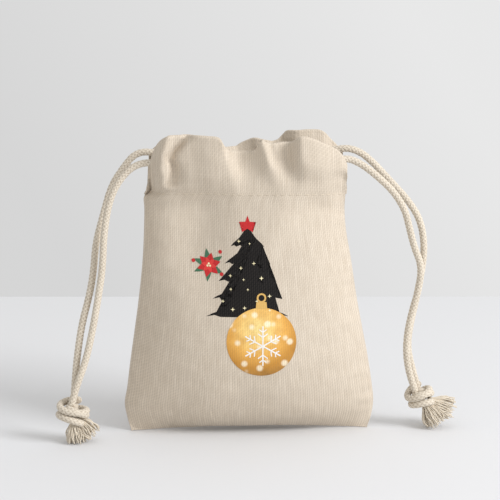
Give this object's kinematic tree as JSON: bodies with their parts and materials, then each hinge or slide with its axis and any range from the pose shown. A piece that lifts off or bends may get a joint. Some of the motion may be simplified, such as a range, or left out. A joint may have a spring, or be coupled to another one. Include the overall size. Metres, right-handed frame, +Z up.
{
  "type": "drawstring pouch",
  "caption": "Small stuffed fabric pouch that stands on its base, with a gathered mouth, a printed front and knotted drawcords at both sides.",
  "frame": {"origin": "middle of the base, on the surface that the pouch stands on", "axes": "+Z up, the printed front faces -Y, +X to the viewer's right when looking at the front"},
  "size_m": [0.1654, 0.0453, 0.121],
  "materials": {
    "linen": "matte plain weave",
    "cord": "matte braid",
    "frayed_cord": "matte loose yarn",
    "thread": "matte",
    "print_film": "satin print"
  },
  "bodies": {
    "pouch": {"front_panel": "linen", "back_panel": "linen", "left_side_seam": "linen", "right_side_seam": "linen", "bottom_seam": "linen", "printed_motif": "print_film", "left_cord_turn": "cord", "right_cord_turn": "cord"},
    "front_lip": {"front_casing": "linen", "front_casing_stitching": "thread", "left_cord_front_run": "cord", "right_cord_front_run": "cord"},
    "back_lip": {"back_casing": "linen", "back_casing_stitching": "thread", "left_cord_back_run": "cord", "right_cord_back_run": "cord"},
    "left_draw": {"left_cord_front_stub": "cord", "left_cord_back_stub": "cord"},
    "right_draw": {"right_cord_front_stub": "cord", "right_cord_back_stub": "cord"},
    "left_tie": {"left_strand_front": "cord", "left_strand_back": "cord", "left_knot": "cord", "left_tassel_front": "frayed_cord", "left_tassel_back": "frayed_cord"},
    "right_tie": {"right_strand_front": "cord", "right_strand_back": "cord", "right_knot": "cord", "right_tassel_front": "frayed_cord", "right_tassel_back": "frayed_cord"}
  },
  "joints": [
    {"name": "mouth_close", "type": "hinge", "parent": "pouch", "child": "front_lip", "pos_m": [0, 0, 0], "axis": [-1, 0, 0], "range_deg": [0, 2.6]},
    {"name": "back_lip_close", "type": "hinge", "parent": "pouch", "child": "back_lip", "pos_m": [0, 0, 0], "axis": [1, 0, 0], "range_deg": [0, 2.6]},
    {"name": "left_cord_pull", "type": "slide", "parent": "pouch", "child": "left_draw", "axis": [-1, 0, 0], "range_m": [0, 0.006]},
    {"name": "right_cord_pull", "type": "slide", "parent": "pouch", "child": "right_draw", "axis": [1, 0, 0], "range_m": [0, 0.006]},
    {"name": "left_tie_swing", "type": "hinge", "parent": "left_draw", "child": "left_tie", "pos_m": [-0.0465, 0, 0.1112], "axis": [0, 1, 0], "range_deg": [0, 65]},
    {"name": "right_tie_swing", "type": "hinge", "parent": "right_draw", "child": "right_tie", "pos_m": [0.0465, 0, 0.1152], "axis": [0, -1, 0], "range_deg": [0, 65]}
  ],
  "couplings": [
    {"joint": "back_lip_close", "follows": "mouth_close", "ratio": 1},
    {"joint": "left_cord_pull", "follows": "mouth_close", "m_per_rad": 0.1322},
    {"joint": "right_cord_pull", "follows": "mouth_close", "m_per_rad": 0.1322}
  ]
}
